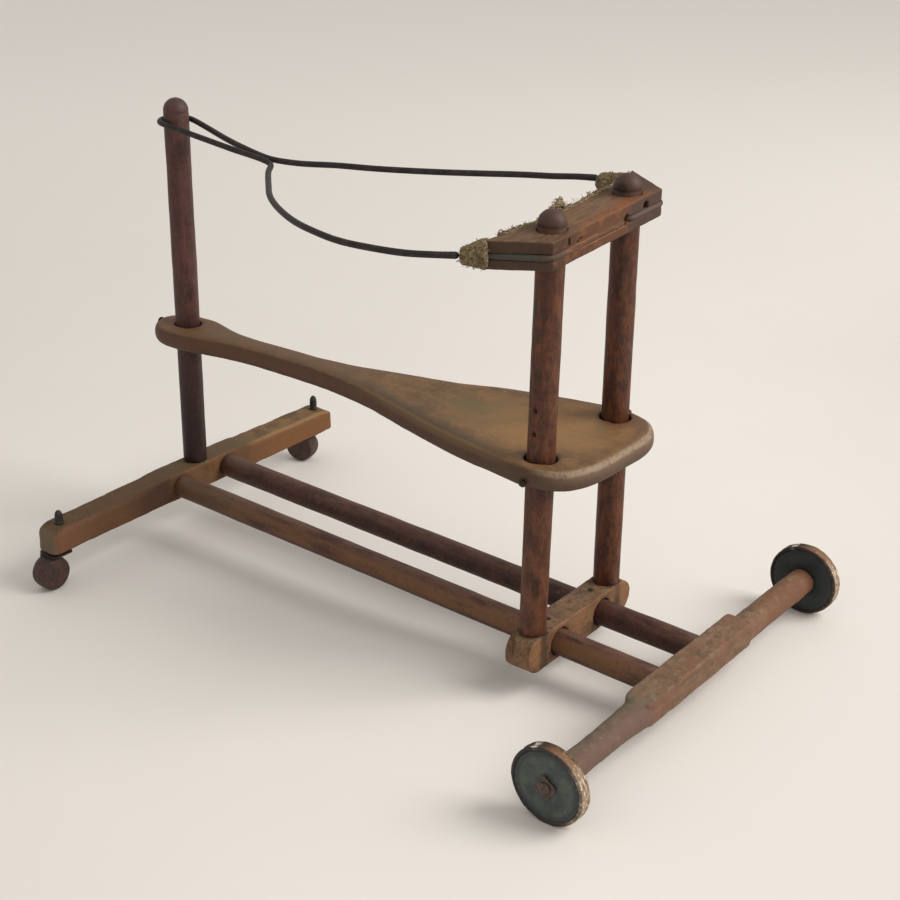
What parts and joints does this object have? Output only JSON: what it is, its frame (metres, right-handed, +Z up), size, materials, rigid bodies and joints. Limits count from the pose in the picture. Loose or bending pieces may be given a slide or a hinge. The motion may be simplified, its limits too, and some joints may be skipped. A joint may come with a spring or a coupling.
{
  "type": "baby walker",
  "caption": "Old wooden baby walker: dowel chassis on rear wheels and front casters, sliding saddle seat on posts, backrest board and wire guard hoop.",
  "frame": {"origin": "on the floor under the middle of the walker", "axes": "+Z up, the child faces -Y towards the front post and casters, so the child's left is +X"},
  "size_m": [0.4896, 0.7606, 0.507],
  "materials": {
    "dowels": "dark stained and waxed, worn lighter on the rails",
    "crossbar": "dry, dusty and worn",
    "block": "bare and worn, with fine cracks",
    "beam": "dry, speckled and worn",
    "board": "worn, with orange patches",
    "seat": "worn smooth, satin",
    "wheels": "old blue-black paint",
    "treads": "worn bare with remains of cream paint",
    "felt": "coarse frayed felt",
    "guard_wire": "blackened wire, satin",
    "caster_wheels": "dark worn wood",
    "screws": "dulled and dark",
    "wheel_hardware": "rusted and painted over",
    "irons": "dark, slightly rusted"
  },
  "bodies": {
    "frame": {"backrest_board": "board", "felt_strip": "felt", "felt_roll_left": "felt", "guard_tail_left": "guard_wire", "felt_roll_right": "felt", "guard_tail_right": "guard_wire", "front_crossbar": "crossbar", "front_post": "dowels", "stretcher_block": "block", "axle_beam": "beam", "rail_left": "dowels", "upright_left": "dowels", "block_nail_left": "irons", "wheel_washer_left": "wheel_hardware", "wheel_bolt_left": "wheel_hardware", "caster_kingpin_left": "irons", "acorn_nut_left": "irons", "caster_plate_left": "irons", "rail_right": "dowels", "upright_right": "dowels", "block_nail_right": "irons", "wheel_washer_right": "wheel_hardware", "wheel_bolt_right": "wheel_hardware", "caster_kingpin_right": "irons", "acorn_nut_right": "irons", "caster_plate_right": "irons"},
    "wheel_left_body": {"wheel_left": "wheels", "tyre_left": "treads"},
    "wheel_right_body": {"wheel_right": "wheels", "tyre_right": "treads"},
    "seat_body": {"seat": "seat", "seat_screw_front": "screws", "seat_screw_left": "screws", "seat_screw_right": "screws"},
    "guard_body": {"guard_hoop": "guard_wire"},
    "caster_left_swivel_body": {"caster_horn_left": "irons", "caster_pin_left": "irons"},
    "caster_left_wheel_body": {"caster_wheel_left": "caster_wheels"},
    "caster_right_swivel_body": {"caster_horn_right": "irons", "caster_pin_right": "irons"},
    "caster_right_wheel_body": {"caster_wheel_right": "caster_wheels"}
  },
  "joints": [
    {"name": "wheel_left_spin", "type": "hinge", "parent": "frame", "child": "wheel_left_body", "pos_m": [0.2332, 0.3415, 0.038], "axis": [1, 0, 0], "continuous": true},
    {"name": "wheel_right_spin", "type": "hinge", "parent": "frame", "child": "wheel_right_body", "pos_m": [-0.2332, 0.3415, 0.038], "axis": [1, 0, 0], "continuous": true},
    {"name": "caster_left_swivel", "type": "hinge", "parent": "frame", "child": "caster_left_swivel_body", "pos_m": [0.205, -0.34027, 0.04401], "axis": [0, 0.0329, 0.9995], "continuous": true},
    {"name": "caster_left_roll", "type": "hinge", "parent": "caster_left_swivel_body", "child": "caster_left_wheel_body", "pos_m": [0.222, -0.34108, 0.01942], "axis": [0, 0.9995, -0.0329], "continuous": true},
    {"name": "caster_right_swivel", "type": "hinge", "parent": "frame", "child": "caster_right_swivel_body", "pos_m": [-0.205, -0.34027, 0.04401], "axis": [0, 0.0329, 0.9995], "continuous": true},
    {"name": "caster_right_roll", "type": "hinge", "parent": "caster_right_swivel_body", "child": "caster_right_wheel_body", "pos_m": [-0.2006, -0.35749, 0.01996], "axis": [0.9659, 0.2587, -0.0085], "continuous": true},
    {"name": "seat_slide", "type": "slide", "parent": "frame", "child": "seat_body", "axis": [0, 0.0329, 0.9995], "range_m": [0, 0.0575]},
    {"name": "guard_lift", "type": "hinge", "parent": "frame", "child": "guard_body", "pos_m": [0.12847, 0.16028, 0.45128], "axis": [-0.9954, -0.0757, 0.0589], "range_deg": [0, 75]}
  ]
}
